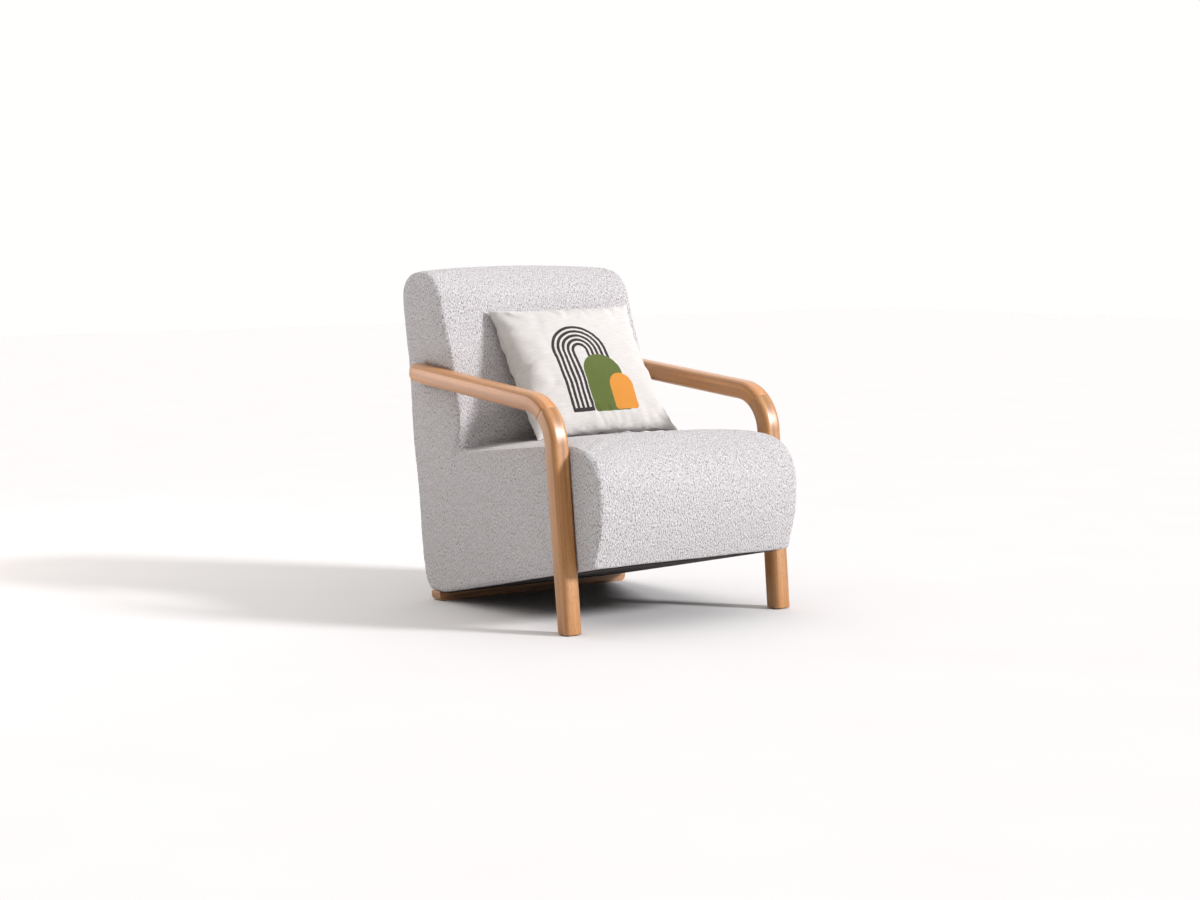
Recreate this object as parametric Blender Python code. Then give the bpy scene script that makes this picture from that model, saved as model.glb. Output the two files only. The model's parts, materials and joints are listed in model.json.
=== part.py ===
"""Upholstered lounge armchair with bent wooden arms, built piece by piece.

Units are metres, +Z is up, the chair faces -Y and stands on z = 0.
The outlines below are written in millimetres in the chair's side plane, as
(distance behind the front legs, height), and MM turns them into metres.
"""
import math

import bmesh
import bpy
from mathutils import Matrix, Vector

MM = 0.001
GAP = 0.3 * MM  # between pieces that touch
MID_DEPTH = 312.26 * MM  # from the front legs back to the middle of the chair's depth

SIDES = ((-1, "right"), (1, "left"))  # the sitter's right hand is at -X

# ---- wooden arms and legs -------------------------------------------------------
LEG_X = 300.0  # leg centre from the chair's middle, at the floor
WOOD_WIDE, WOOD_DEEP, WOOD_ROUND = 45.0, 43.0, 12.0  # section of arm and leg
LEG_LEAN, ARM_RISE = math.radians(5.8), math.radians(4.8)
SPLAY, TOE_IN = 0.0096, 0.012  # outward per height, inward per depth
CORNER = (50.7, 498.1)  # where the leg's and the arm's middle lines would meet
BEND_R = 100.0  # of the middle line
JOINT_AT = math.radians(49)  # of the glued joint in the bend, above level
ARM_END = 623.0  # rear tip of the arm

# ---- upholstered body ------------------------------------------------------------
SEAT_HALF, BACK_HALF, HOLLOW_HALF, FILL_HALF = 278.0, 274.6, 258.0, 257.4
COVER_THICK = 6.0  # fabric with its backing of wadding
JOIN_LEAN = 100.0 / 344.0  # of the seam between the seat and the back, side view
CREASE = (486.0, 372.0)
REAR_FOOT = (566.0, 604.0)  # front and rear of the foot board
BELLY_FRONT, BELLY_REAR = (-62.0, 150.0), (548.0, 24.0)  # underside, front and rear

SEAT_TOP = [(-70, 183), (-79, 208), (-85.5, 232), (-89.5, 258), (-91, 285), (-90.5, 312),
            (-87, 338), (-79.5, 361), (-67, 381), (-50, 396), (-28, 406.5), (0, 413), (32, 415.5),
            (90, 411), (200, 400), (300, 389.5), (400, 378), (450, 371.5), (474, 368.5)]
BACK_RISE = [(474, 395), (468, 425), (468, 453), (477, 490), (498, 576), (516, 627), (534, 673),
             (547, 712), (556, 738), (571, 760), (594, 776), (624, 784), (656, 785.5),
             (686, 780), (706, 766), (716, 745), (718.5, 716), (711, 668), (703, 620),
             (694, 572), (687, 500), (681, 430), (673, 360), (662, 300), (654, 240), (647, 165),
             (641, 117), (631, 69), (619, 38)]
BACK_FOOT = (604.0, 24.0)


def clear_scene():
    for obj in list(bpy.data.objects):
        bpy.data.objects.remove(obj, do_unlink=True)


def material(name, rgb, roughness, metallic=0.0):
    mat = bpy.data.materials.new(name)
    mat.use_nodes = True
    shader = mat.node_tree.nodes["Principled BSDF"]
    shader.inputs["Base Color"].default_value = (*rgb, 1.0)
    shader.inputs["Roughness"].default_value = roughness
    shader.inputs["Metallic"].default_value = metallic
    return mat


def place(x, y, z):
    """A point given in millimetres from the front legs, in the chair's own frame."""
    return Vector((x * MM, y * MM - MID_DEPTH, z * MM))


def finish(name, bm, mat, smooth=False, merge=True):
    """Turn a bmesh into a named object with outward faces."""
    if merge:
        bmesh.ops.remove_doubles(bm, verts=bm.verts, dist=1e-6)
    bmesh.ops.recalc_face_normals(bm, faces=bm.faces)
    mesh = bpy.data.meshes.new(name)
    for face in bm.faces:
        face.smooth = smooth
    bm.to_mesh(mesh)
    bm.free()
    mesh.materials.append(mat)
    obj = bpy.data.objects.new(name, mesh)
    bpy.context.scene.collection.objects.link(obj)
    return obj


def cap_face(bm, points):
    return bm.faces.new([bm.verts.new(p) for p in points])


def pull(bm, face, points):
    """Extrude a cap face and put its corners at new points, in order."""
    made = bmesh.ops.extrude_face_region(bm, geom=[face], use_keep_orig=False)["geom"]
    cap = next(f for f in made if isinstance(f, bmesh.types.BMFace))
    for loop, point in zip(cap.loops, points):
        loop.vert.co = point
    if face.is_valid:
        bmesh.ops.delete(bm, geom=[face], context="FACES_ONLY")
    return cap


def prism(bm, outline, x0, x1):
    """A straight block with a side outline in millimetres, from x0 to x1."""
    face = cap_face(bm, [place(x0, y, z) for y, z in outline])
    made = bmesh.ops.extrude_face_region(bm, geom=[face], use_keep_orig=True)["geom"]
    shift = Vector(((x1 - x0) * MM, 0, 0))
    bmesh.ops.translate(bm, vec=shift, verts=[v for v in made if isinstance(v, bmesh.types.BMVert)])
    return bm


def block(bm, x, y, z, turn=None):
    """A box between pairs of limits in millimetres, turned about X if asked."""
    size = Vector((x[1] - x[0], y[1] - y[0], z[1] - z[0])) * MM
    at = place(sum(x) / 2, sum(y) / 2, sum(z) / 2)
    matrix = Matrix.Translation(at)
    if turn:
        matrix = matrix @ Matrix.Rotation(turn, 4, "X")
    bmesh.ops.create_cube(bm, size=1.0, matrix=matrix @ Matrix.Diagonal((*size, 1.0)))
    return bm


def rod(bm, start, end, radius, sides=16, radius_end=None):
    """A closed round bar between two placed points; radii in millimetres."""
    axis = end - start
    turn = Vector((0, 0, 1)).rotation_difference(axis).to_matrix().to_4x4()
    bmesh.ops.create_cone(
        bm, cap_ends=True, segments=sides, radius1=radius * MM,
        radius2=(radius if radius_end is None else radius_end) * MM, depth=axis.length,
        matrix=Matrix.Translation((start + end) / 2) @ turn)
    return bm


def tube(bm, start, end, outer, inner, sides=20):
    """A washer or sleeve: a ring section spun about the line between two points."""
    axis = (end - start).normalized()
    out = axis.orthogonal().normalized()
    ring = [start + out * inner * MM, start + out * outer * MM,
            end + out * outer * MM, end + out * inner * MM]
    verts = [bm.verts.new(p) for p in ring]
    edges = [bm.edges.new(pair) for pair in zip(verts, verts[1:] + verts[:1])]
    bmesh.ops.spin(bm, geom=verts + edges, cent=start, axis=axis, dvec=(0, 0, 0), angle=math.tau,
                   steps=sides, use_merge=True, use_duplicate=False)
    return bm


def carve(obj, cutter_bm, name):
    """Cut a hidden tool's volume out of an object."""
    bmesh.ops.recalc_face_normals(cutter_bm, faces=cutter_bm.faces)
    mesh = bpy.data.meshes.new(name)
    cutter_bm.to_mesh(mesh)
    cutter_bm.free()
    tool = bpy.data.objects.new(name, mesh)
    bpy.context.scene.collection.objects.link(tool)
    tool.hide_render = True
    tool.display_type = "WIRE"
    modifier = obj.modifiers.new(name, "BOOLEAN")
    modifier.operation = "DIFFERENCE"
    modifier.solver = "EXACT"
    modifier.object = tool
    return tool


def side_normals(outline):
    """Outward direction at each corner of a side outline, long enough to keep walls even."""
    area = sum(a[0] * b[1] - b[0] * a[1] for a, b in zip(outline, outline[1:] + outline[:1]))
    turn = 1.0 if area > 0 else -1.0
    result = []
    for i, here in enumerate(outline):
        before, after = Vector(outline[i - 1]), Vector(outline[(i + 1) % len(outline)])
        d1 = (Vector(here) - before).normalized()
        d2 = (after - Vector(here)).normalized()
        n1, n2 = Vector((d1.y, -d1.x)) * turn, Vector((d2.y, -d2.x)) * turn
        mean = (n1 + n2).normalized()
        result.append(mean / max(0.45, mean.dot(n1)))
    return result


def inset(outline, distance):
    normals = side_normals(outline)
    return [(p[0] - n.x * distance, p[1] - n.y * distance) for p, n in zip(outline, normals)]


def join_line(z):
    """Depth of the seam between the seat block and the back block at a height."""
    return CREASE[0] + JOIN_LEAN * (CREASE[1] - z)


def belly(y):
    """Height of the sloping underside at a depth."""
    slope = (BELLY_REAR[1] - BELLY_FRONT[1]) / (BELLY_REAR[0] - BELLY_FRONT[0])
    return BELLY_FRONT[1] + slope * (y - BELLY_FRONT[0])


def padded_block(outline, half, radius_of, crown_of):
    """A soft block: side outline carried across the chair with rounded sides and a crown."""
    normals = side_normals(outline)
    radii = [radius_of(p) for p in outline]
    crowns = [crown_of(p) for p in outline]
    quarter = [math.radians(a) for a in (90, 66, 44, 22, 0)]
    steps = [(-1, a) for a in quarter] + [(0, x) for x in (-0.5, 0.0, 0.5)]
    steps += [(1, a) for a in reversed(quarter)]

    def section(side, value):
        points = []
        for p, n, r, c in zip(outline, normals, radii, crowns):
            if side:
                x, sink = side * (half - r * (1 - math.sin(value))), r * (1 - math.cos(value))
            else:
                x, sink = value * half, 0.0
            out = c * (1 - (x / half) ** 2) - sink
            points.append(place(x, p[0] + n.x * out, p[1] + n.y * out))
        return points

    bm = bmesh.new()
    first = cap_face(bm, section(*steps[0]))
    cap = bmesh.ops.extrude_face_region(bm, geom=[first], use_keep_orig=True)["geom"]
    cap = next(f for f in cap if isinstance(f, bmesh.types.BMFace))
    for loop, point in zip(cap.loops, section(*steps[1])):
        loop.vert.co = point
    for step in steps[2:]:
        cap = pull(bm, cap, section(*step))
    return bm


# ---- arms and legs ------------------------------------------------------------------
def wood_section(middle, up, side):
    """Rounded rectangle across the wood: up is in the side plane, middle in (x, y, z) mm."""
    a, b, r = WOOD_WIDE / 2, WOOD_DEEP / 2, WOOD_ROUND
    points = []
    for quarter in range(4):
        cx = (a - r) * (1 if quarter in (0, 3) else -1)
        cy = (b - r) * (1 if quarter in (0, 1) else -1)
        for step in range(5):
            t = math.radians(90 * quarter + 22.5 * step)
            across, tall = cx + r * math.cos(t), cy + r * math.sin(t)
            y, z = middle[0] + up[0] * tall, middle[1] + up[1] * tall
            points.append((across, y, z))
    return [splayed(side, *p) for p in points]


def splayed(side, across, y, z):
    return place(side * (LEG_X + SPLAY * z - TOE_IN * y) + across, y, z)


def bend_frame(angle):
    """Middle of the wood and its outward direction at an angle around the bend."""
    reach = BEND_R * math.tan((math.pi / 2 - LEG_LEAN - ARM_RISE) / 2)
    foot = (CORNER[0] - math.sin(LEG_LEAN) * reach, CORNER[1] - math.cos(LEG_LEAN) * reach)
    centre = (foot[0] + math.cos(LEG_LEAN) * BEND_R, foot[1] - math.sin(LEG_LEAN) * BEND_R)
    out = (-math.cos(angle), math.sin(angle))
    return (centre[0] + out[0] * BEND_R, centre[1] + out[1] * BEND_R), out


def bent_wood(side, angles, far, far_out):
    """One wooden piece: through the bend, then straight to its far end."""
    bm = bmesh.new()
    first = cap_face(bm, wood_section(*bend_frame(angles[0]), side))
    cap = bmesh.ops.extrude_face_region(bm, geom=[first], use_keep_orig=True)["geom"]
    cap = next(f for f in cap if isinstance(f, bmesh.types.BMFace))
    for angle in angles[1:]:
        points = wood_section(*bend_frame(angle), side)
        if angle == angles[1]:
            for loop, point in zip(cap.loops, points):
                loop.vert.co = point
        else:
            cap = pull(bm, cap, points)
    cap = pull(bm, cap, wood_section(far, far_out, side))
    return bm, cap


def spread(start, stop, count):
    return [start + (stop - start) * i / count for i in range(count + 1)]


def dowel_line(side, offset):
    """Two points along the joint dowel's line, one each side of the glued joint."""
    middle, out = bend_frame(JOINT_AT)
    along = (out[1], -out[0])
    ends = [splayed(side, offset, middle[0] + along[0] * s, middle[1] + along[1] * s) for s in (-1, 1)]
    centre = (ends[0] + ends[1]) / 2
    return centre, (ends[1] - ends[0]).normalized()


def bolt_seats():
    """Each bolt through a side frame into the wood: side, depth, height and its name."""
    for side, label in SIDES:
        yield side, math.tan(LEG_LEAN) * 185, 185.0, "leg_%s_%s_lower" % ("%s", label)
        yield side, math.tan(LEG_LEAN) * 232, 232.0, "leg_%s_%s_upper" % ("%s", label)
        yield side, 597.0, 493.9 + math.tan(ARM_RISE) * 597.0, "arm_%s_%s" % ("%s", label)


def bore(bm, side, y, z, x0, x1, radius, sides=16):
    return rod(bm, place(side * x0, y, z), place(side * x1, y, z), radius, sides)


def build_wood(wood):
    joint_gap = 0.15 / BEND_R
    arm_tilt = math.pi / 2 - ARM_RISE
    for side, label in SIDES:
        out = (-math.sin(ARM_RISE), math.cos(ARM_RISE))
        end = (ARM_END, CORNER[1] + (ARM_END - CORNER[0]) * math.tan(ARM_RISE))
        arm, cap = bent_wood(side, spread(JOINT_AT + joint_gap, arm_tilt, 5), end, out)
        bmesh.ops.bevel(arm, geom=list(cap.edges), offset=5 * MM, segments=3, profile=0.5,
                        affect="EDGES", material=-1, clamp_overlap=True)
        arm = finish("armrest_" + label, arm, wood["arm"], smooth=True)
        out = (-math.cos(LEG_LEAN), math.sin(LEG_LEAN))
        end = (-math.tan(LEG_LEAN) * 6, -6.0)
        leg, cap = bent_wood(side, spread(JOINT_AT - joint_gap, LEG_LEAN, 5), end, out)
        cut = bmesh.ops.bisect_plane(
            leg, geom=[*leg.verts, *leg.edges, *leg.faces], dist=1e-7, clear_inner=True,
            plane_co=place(0, 0, FOOT_GLIDE), plane_no=(0, 0, 1))["geom_cut"]
        sole = bmesh.ops.contextual_create(leg, geom=[e for e in cut if isinstance(e, bmesh.types.BMEdge)])
        bmesh.ops.bevel(leg, geom=list(sole["faces"][0].edges), offset=1.2 * MM, segments=1, profile=0.5,
                        affect="EDGES", material=-1, clamp_overlap=True)
        leg = finish("front_leg_" + label, leg, wood["leg"], smooth=True)
        for piece, kind in ((arm, "arm"), (leg, "leg")):
            holes = bmesh.new()
            for offset in (-10, 10):
                centre, along = dowel_line(side, offset)
                rod(holes, centre - along * 27 * MM, centre + along * 27 * MM, 5.3, 14)
            for s, y, z, where in bolt_seats():
                if s == side and where.startswith(kind):
                    bore(holes, side, y, z, 265, 303, 6.3)
            carve(piece, holes, piece.name + "_holes")
        for offset, place_name in ((-10 * side, "inner"), (10 * side, "outer")):
            centre, along = dowel_line(side, offset)
            pin = rod(bmesh.new(), centre - along * 25 * MM, centre + along * 25 * MM, 5.0, 14)
            finish("joint_dowel_%s_%s" % (label, place_name), pin, wood["dowel"])


FOOT_GLIDE = 2.5
FOOT_SCREWS = {"right": -180.0, "middle": 0.0, "left": 180.0}


def build_feet(wood, plastic, steel):
    y0, y1 = REAR_FOOT
    middle, top = (y0 + y1) / 2, BELLY_REAR[1] - 0.5
    half, r = 277.0, 13.0
    rim = [(-half, top)]
    rim += [(-half + r - r * math.cos(t), r - r * math.sin(t)) for t in spread(0, math.pi / 2, 5)]
    rim += [(-x, z) for x, z in reversed(rim)]
    bm = bmesh.new()
    face = cap_face(bm, [place(x, y0, z) for x, z in rim])
    made = bmesh.ops.extrude_face_region(bm, geom=[face], use_keep_orig=True)["geom"]
    bmesh.ops.translate(bm, vec=(0, (y1 - y0) * MM, 0),
                        verts=[v for v in made if isinstance(v, bmesh.types.BMVert)])
    board = finish("rear_foot_board", bm, wood["foot"])
    bevel = board.modifiers.new("worn_edges", "BEVEL")
    bevel.width, bevel.segments, bevel.limit_method = 2 * MM, 2, "ANGLE"
    holes = bmesh.new()
    for label, x in FOOT_SCREWS.items():
        headed_pin(holes, place(x, middle, -2), Vector((0, 0, 1)), 5.4, 8.0, 2.6, 60.0)
        screw = headed_pin(bmesh.new(), place(x, middle, 1.5), Vector((0, 0, 1)), 4.8, 4.0, 2.2, 50.0)
        finish("foot_screw_" + label, screw, steel)
    carve(board, holes, "foot_board_holes")
    for side, label in SIDES:
        under = place(side * LEG_X, 0.4, 0), place(side * LEG_X, 0.4, FOOT_GLIDE - 0.3)
        finish("leg_glide_" + label, rod(bmesh.new(), *under, 14, 20), plastic)


def headed_pin(bm, start, along, head_r, head_long, shank_r, shank_long, sides=16):
    """A screw or bolt: one stepped outline spun about its own line."""
    out = along.orthogonal().normalized()
    tip = head_long + shank_long
    steps = [(0, 0), (head_r, 0), (head_r, head_long), (shank_r, head_long), (shank_r, tip - 1.5),
             (shank_r * 0.55, tip), (0, tip)]
    verts = [bm.verts.new(start + out * r * MM + along * t * MM) for r, t in steps]
    edges = [bm.edges.new(pair) for pair in zip(verts, verts[1:])]
    bmesh.ops.spin(bm, geom=verts + edges, cent=start, axis=along, dvec=(0, 0, 0), angle=math.tau,
                   steps=sides, use_merge=True, use_duplicate=False)
    bmesh.ops.remove_doubles(bm, verts=bm.verts, dist=1e-7)
    return bm


# ---- frame inside the upholstery ---------------------------------------------------------
FRAME_OUT, FRAME_IN = 257.4, 239.4  # faces of the plywood side frames
FRAME_SIDE = [(-40, 151), (-40, 258), (470, 214), (520, 214), (600, 700), (612, 738), (690, 738),
              (703, 700), (675, 500), (650, 300), (635, 165), (618, 62), (605, 28.5), (549, 28.5)]
SPRING_Z = (261.5, 209.5)  # over the front rail and over the rear rail
SPRING_Y = (-29.0, 480.0)


def build_frame(wood, plywood, board, steel):
    for side, label in SIDES:
        bm = prism(bmesh.new(), FRAME_SIDE, side * FRAME_IN, side * FRAME_OUT)
        panel = finish("side_frame_" + label, bm, plywood)
        holes = bmesh.new()
        for s, y, z, _ in bolt_seats():
            if s == side:
                bore(holes, side, y, z, FRAME_IN - 8, FRAME_OUT + 8, 4.6)
        carve(panel, holes, panel.name + "_holes")
    half = FRAME_IN - GAP / MM
    span = (-half, half)
    rails = {
        "front_rail": ((-40, -18), (152, 257)),
        "seat_rear_rail": ((470, 490), (120, 205)),
        "lumbar_rail": ((566, 586), (420, 480)),
        "back_top_rail": ((616, 688), (706, 726)),
    }
    for name, (y, z) in rails.items():
        finish(name, block(bmesh.new(), span, y, z), wood)
    bottom = finish("rear_bottom_rail", block(bmesh.new(), span, (564, 603), (29, 68)), wood)
    holes = bmesh.new()
    for x in FOOT_SCREWS.values():
        rod(holes, place(x, sum(REAR_FOOT) / 2, 20), place(x, sum(REAR_FOOT) / 2, 60), 2.6, 12)
    carve(bottom, holes, "bottom_rail_holes")
    for side, label in SIDES:
        x0, x1 = side * (half - GAP / MM), side * (half - 60)
        glued = bmesh.new()
        face = cap_face(glued, [place(*p, 197) for p in ((x0, -17.7), (x1, -17.7), (x0, 42))])
        made = bmesh.ops.extrude_face_region(glued, geom=[face], use_keep_orig=True)["geom"]
        bmesh.ops.translate(glued, vec=(0, 0, 23 * MM),
                            verts=[v for v in made if isinstance(v, bmesh.types.BMVert)])
        finish("corner_block_" + label, glued, wood)
    rear = [p for p in FRAME_SIDE if p[1] in (700, 500, 300, 165, 62) and p[0] > 610]
    normals = side_normals(FRAME_SIDE)
    grow = {p: n for p, n in zip(FRAME_SIDE, normals)}
    near = [(p[0] + grow[p].x * 0.4, p[1] + grow[p].y * 0.4) for p in rear]
    far = [(p[0] + grow[p].x * 2.6, p[1] + grow[p].y * 2.6) for p in reversed(rear)]
    finish("rear_panel", prism(bmesh.new(), near + far, -FRAME_OUT, FRAME_OUT), board)


def build_springs(steel, webbing):
    for number, x in enumerate((-180.0, -60.0, 60.0, 180.0), 1):
        curve = bpy.data.curves.new("spring_path", "CURVE")
        curve.dimensions, curve.bevel_depth, curve.bevel_resolution = "3D", 1.8 * MM, 1
        curve.use_fill_caps = True
        line = curve.splines.new("POLY")
        count = 48
        line.points.add(count)
        for i in range(count + 1):
            t = i / count
            y = SPRING_Y[0] + (SPRING_Y[1] - SPRING_Y[0]) * t
            z = SPRING_Z[0] + (SPRING_Z[1] - SPRING_Z[0]) * t
            line.points[i].co = (*place(x + 26 * math.sin(math.tau * 6 * t), y, z), 1.0)
        curve.materials.append(steel)
        spring = bpy.data.objects.new("seat_spring_%d" % number, curve)
        bpy.context.scene.collection.objects.link(spring)
    for y, z, label in zip(SPRING_Y, SPRING_Z, ("front", "rear")):
        strip = block(bmesh.new(), (-215, 215), (y - 8, y + 8), (z + 2.4, z + 4.4))
        finish("spring_clip_strip_" + label, strip, steel)
    foot, head = Vector((520, 214)), Vector((600, 700))
    along = (head - foot).normalized()
    front = Vector((-along.y, along.x))
    lean = math.atan2(along.x, along.y)
    for t, label in ((0.25, "lower"), (0.5, "middle"), (0.75, "upper")):
        middle = foot + (head - foot) * t + front * 1.3
        strap = block(bmesh.new(), (-FRAME_OUT, FRAME_OUT), (middle.x - 0.8, middle.x + 0.8),
                      (middle.y - 35, middle.y + 35), turn=-lean)
        finish("back_webbing_" + label, strap, webbing)


# ---- filling and covers --------------------------------------------------------------------
def body_outline():
    """The whole upholstered body in side view, seat and back together."""
    return [BELLY_FRONT, *SEAT_TOP, *BACK_RISE, BACK_FOOT, BELLY_REAR]


def keep_side(bm, point, normal):
    """Keep what lies on the normal's side of a plane and close the cut."""
    cut = bmesh.ops.bisect_plane(bm, geom=[*bm.verts, *bm.edges, *bm.faces], dist=1e-7,
                                 plane_co=place(0, *point), plane_no=(0, *normal), clear_inner=True)
    edges = [e for e in cut["geom_cut"] if isinstance(e, bmesh.types.BMEdge)]
    bmesh.ops.contextual_create(bm, geom=edges)


def build_filling(foam):
    fill = inset(body_outline(), COVER_THICK + 0.6)
    seat_floor = ((SPRING_Y[0], SPRING_Z[0] + 9), (0.096, 1.0))
    under_seat = ((SPRING_Y[0], SPRING_Z[0] + 8.6), (-0.096, -1.0))
    back_face = ((520 - 3.5, 214), (-486.0, 80.0))
    pieces = {
        "front_foam": [((-40.4, 0), (-1.0, 0.0)), under_seat],
        "seat_foam": [seat_floor, ((486, 0), (-1.0, 0.0))],
        "back_foam": [seat_floor, ((486.4, 0), (1.0, 0.0)), back_face, ((0, 739.6), (0.0, -1.0))],
        "top_foam": [((0, 740), (0.0, 1.0))],
    }
    for name, planes in pieces.items():
        bm = prism(bmesh.new(), fill, -FILL_HALF, FILL_HALF)
        for point, normal in planes:
            keep_side(bm, point, normal)
        finish(name, bm, foam)


def build_covers(fabric, lining):
    hollow = inset(body_outline(), COVER_THICK)
    hollow[0] = (hollow[0][0], BELLY_FRONT[1] - 30)
    hollow[-1] = (BELLY_REAR[0], BELLY_REAR[1] - 30)
    hollow[-2] = (BACK_FOOT[0] - 2, BACK_FOOT[1] - 30)
    seat = [BELLY_FRONT, *SEAT_TOP, (CREASE[0] - 0.5, 360.0)]
    seat += [(join_line(z) - 0.5, z) for z in (300, 200, 100, 40)]
    seat += [(join_line(24) - 0.5, 24), BELLY_REAR]
    back = [*BACK_RISE, BACK_FOOT, (join_line(24), 24)]
    back += [(join_line(z), z) for z in (40, 100, 200, 300)] + [(CREASE[0] + 0.2, 366.0)]

    def seat_round(p):
        hidden = p[0] > 480 or p[1] <= belly(p[0]) + 1
        return 3.0 if hidden else 26.0 if p[0] < 440 else 14.0

    def seat_crown(p):
        return 0.0 if p[0] > 440 or p[1] <= belly(p[0]) + 1 else 5.0

    def back_round(p):
        if p[1] < 372 and p[0] < 592 or p[1] < 30:
            return 3.0
        return min(30.0, 6.0 + 0.12 * p[1])

    def back_crown(p):
        return 5.0 if p[1] > 380 and p[0] < 700 else 2.0 if p[1] > 120 and p[0] > 600 else 0.0

    for name, outline, half, round_of, crown_of in (
            ("seat_cover", seat, SEAT_HALF, seat_round, seat_crown),
            ("back_cover", back, BACK_HALF, back_round, back_crown)):
        cover = finish(name, padded_block(outline, half, round_of, crown_of), fabric, smooth=True)
        carve(cover, prism(bmesh.new(), hollow, -HOLLOW_HALF, HOLLOW_HALF), name + "_hollow")
        holes = bmesh.new()
        for side, y, z, _ in bolt_seats():
            bore(holes, side, y, z, HOLLOW_HALF - 6, 290, 4.6)
        carve(cover, holes, name + "_holes")
    y0, y1 = -54.0, 546.0
    sheet = [(y0, belly(y0) + 1), (y1, belly(y1) + 1), (563, 25.3), (563, 26.3),
             (y1, belly(y1) + 2), (y0, belly(y0) + 2)]
    finish("dust_cover", prism(bmesh.new(), sheet, -FILL_HALF, FILL_HALF), lining)


# ---- fixings -------------------------------------------------------------------------------
def build_fixings(steel, brass):
    for side, y, z, name in bolt_seats():
        out = Vector((side, 0, 0))
        bolt = headed_pin(bmesh.new(), place(side * (FRAME_IN - 8), y, z), out, 6.5, 5.5, 4.0, 60.0)
        finish(name % "bolt", bolt, steel)
        washer = tube(bmesh.new(), place(side * (FRAME_IN - 2.2), y, z), place(side * (FRAME_IN - 0.4), y, z), 10.0, 4.4)
        finish(name % "washer", washer, steel)
        wood_face = LEG_X + SPLAY * z - TOE_IN * y - WOOD_WIDE / 2
        insert = tube(bmesh.new(), place(side * (wood_face + 1.5), y, z), place(side * 301.0, y, z), 6.0, 4.3)
        finish(name % "insert", insert, brass)


# ---- loose scatter cushion ---------------------------------------------------------------------
CUSHION_SIZE, CUSHION_THICK = (387.0, 373.0), 115.0
CUSHION_AT = (22.6, 389.8, 547.8)
CUSHION_TURN = (math.radians(-37.3), math.radians(-1.1), math.radians(-5.5))


def build_cushion(linen):
    bm = bmesh.new()
    bmesh.ops.create_grid(bm, x_segments=12, y_segments=12, size=1.0)
    made = bmesh.ops.extrude_face_region(bm, geom=list(bm.faces), use_keep_orig=True)["geom"]
    upper = {v for v in made if isinstance(v, bmesh.types.BMVert)}
    w, h = CUSHION_SIZE[0] / 2, CUSHION_SIZE[1] / 2
    for v in bm.verts:
        u, t = v.co.x, v.co.y
        thick = max(0.0, (1 - u ** 2) * (1 - t ** 2)) ** 0.42 * CUSHION_THICK / 2 + 2.5
        pull_in = 1 - 0.075 * (1 - t ** 2) * abs(u) ** 3, 1 - 0.075 * (1 - u ** 2) * abs(t) ** 3
        v.co = Vector((u * w * pull_in[0], thick * (-1 if v in upper else 1), t * h * pull_in[1])) * MM
    turn = Matrix.Rotation(CUSHION_TURN[2], 4, "Z") @ Matrix.Rotation(CUSHION_TURN[0], 4, "X")
    turn = turn @ Matrix.Rotation(CUSHION_TURN[1], 4, "Y")
    cushion = finish("scatter_cushion", bm, linen, smooth=True)
    cushion.matrix_world = Matrix.Translation(place(*CUSHION_AT)) @ turn


def build_chair():
    clear_scene()
    fabric = material("boucle_fabric", (0.72, 0.69, 0.66), 0.95)
    linen = material("white_linen", (0.82, 0.80, 0.76), 0.9)
    lining = material("black_lining", (0.03, 0.022, 0.018), 0.9)
    foam = material("upholstery_foam", (0.80, 0.74, 0.55), 0.95)
    webbing = material("elastic_webbing", (0.12, 0.12, 0.13), 0.8)
    wood = {"arm": material("beech_arm", (0.60, 0.31, 0.14), 0.35),
            "leg": material("beech_leg", (0.68, 0.42, 0.21), 0.35),
            "foot": material("beech_foot", (0.55, 0.33, 0.17), 0.4),
            "dowel": material("dowel_beech", (0.66, 0.47, 0.28), 0.6)}
    rail = material("pine_rail", (0.70, 0.54, 0.33), 0.7)
    plywood = material("birch_plywood", (0.72, 0.58, 0.40), 0.65)
    board = material("hardboard", (0.35, 0.23, 0.14), 0.75)
    steel = material("zinc_steel", (0.62, 0.62, 0.64), 0.35, 1.0)
    brass = material("insert_brass", (0.78, 0.62, 0.30), 0.35, 1.0)
    nylon = material("nylon_glide", (0.85, 0.84, 0.80), 0.5)
    build_wood(wood)
    build_feet(wood, nylon, steel)
    build_frame(rail, plywood, board, steel)
    build_springs(steel, webbing)
    build_filling(foam)
    build_covers(fabric, lining)
    build_fixings(steel, brass)
    build_cushion(linen)


build_chair()
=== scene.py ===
import json
import math

import bmesh
import bpy
import numpy as np
from mathutils import Matrix, Vector, noise
from mathutils.bvhtree import BVHTree

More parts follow.
